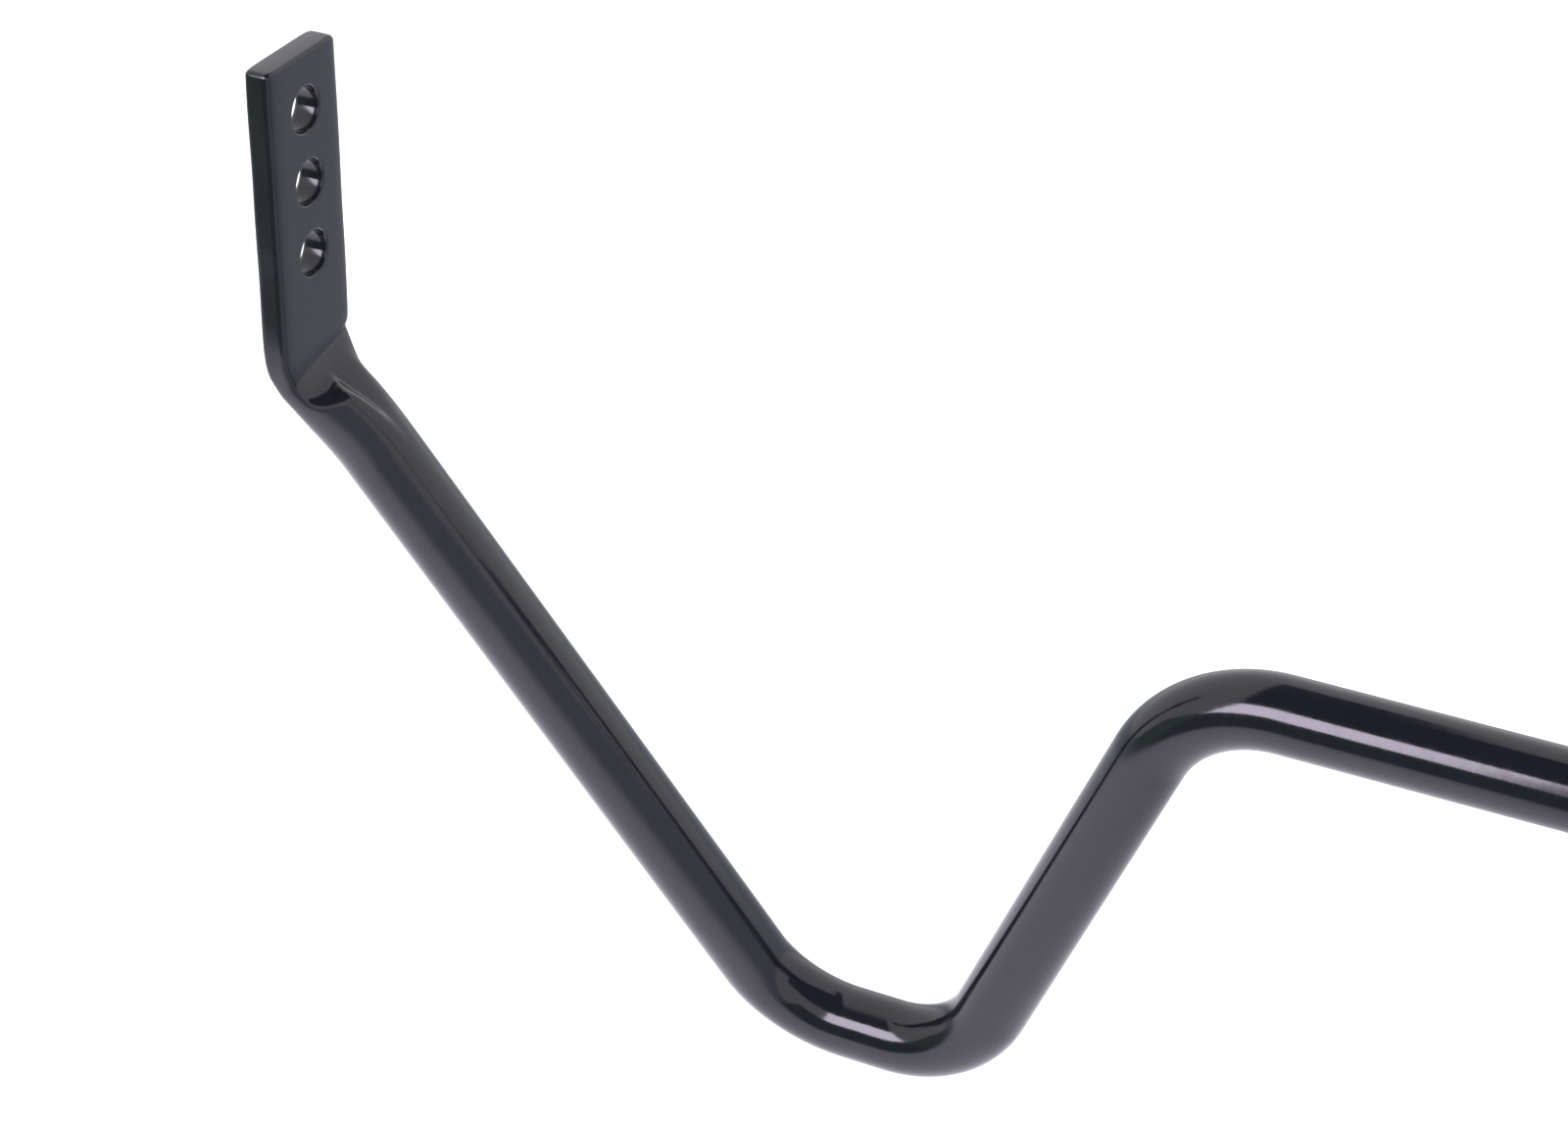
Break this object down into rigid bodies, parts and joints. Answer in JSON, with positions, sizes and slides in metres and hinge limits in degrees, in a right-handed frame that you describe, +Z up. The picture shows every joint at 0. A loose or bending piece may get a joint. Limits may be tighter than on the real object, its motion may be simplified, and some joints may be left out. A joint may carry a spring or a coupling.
{
  "type": "sway bar",
  "caption": "Forged steel sway bar with flat drilled blade ends, stepped shoulders and bushed chassis saddles.",
  "frame": {"origin": "on the torsion axis of the centre section, midway between the two saddles", "axes": "+X along the torsion axis to the right, +Y to the rear, +Z up, towards the chassis face and the blade tips"},
  "size_m": [1.1688, 0.1329, 0.3291],
  "materials": {
    "powder_coat": "gloss black powder coat on forged steel",
    "polyurethane": "moulded black polyurethane, satin",
    "zinc_plate": "bright zinc plate on pressed steel",
    "bolt_steel": "zinc plated high-tensile steel",
    "nipple_steel": "passivated steel",
    "collar_steel": "turned and plated steel",
    "black_oxide": "black oxide on alloy steel"
  },
  "bodies": {
    "chassis_hardware": {"left_bush": "polyurethane", "left_saddle": "zinc_plate", "left_grease_nipple": "nipple_steel", "left_bolt_front": "bolt_steel", "left_washer_front": "zinc_plate", "left_spring_washer_front": "bolt_steel", "left_bolt_rear": "bolt_steel", "left_washer_rear": "zinc_plate", "left_spring_washer_rear": "bolt_steel", "right_bush": "polyurethane", "right_saddle": "zinc_plate", "right_grease_nipple": "nipple_steel", "right_bolt_front": "bolt_steel", "right_washer_front": "zinc_plate", "right_spring_washer_front": "bolt_steel", "right_bolt_rear": "bolt_steel", "right_washer_rear": "zinc_plate", "right_spring_washer_rear": "bolt_steel"},
    "sway_bar": {"bar": "powder_coat", "left_collar_screw_front": "black_oxide", "left_collar_screw_rear": "black_oxide", "left_collar_upper": "collar_steel", "left_collar_lower": "collar_steel", "right_collar_screw_front": "black_oxide", "right_collar_screw_rear": "black_oxide", "right_collar_upper": "collar_steel", "right_collar_lower": "collar_steel"}
  },
  "joints": [
    {"name": "bar_swing", "type": "hinge", "parent": "chassis_hardware", "child": "sway_bar", "pos_m": [0, 0, 0], "axis": [1, 0, 0], "range_deg": [-25, 25]}
  ]
}
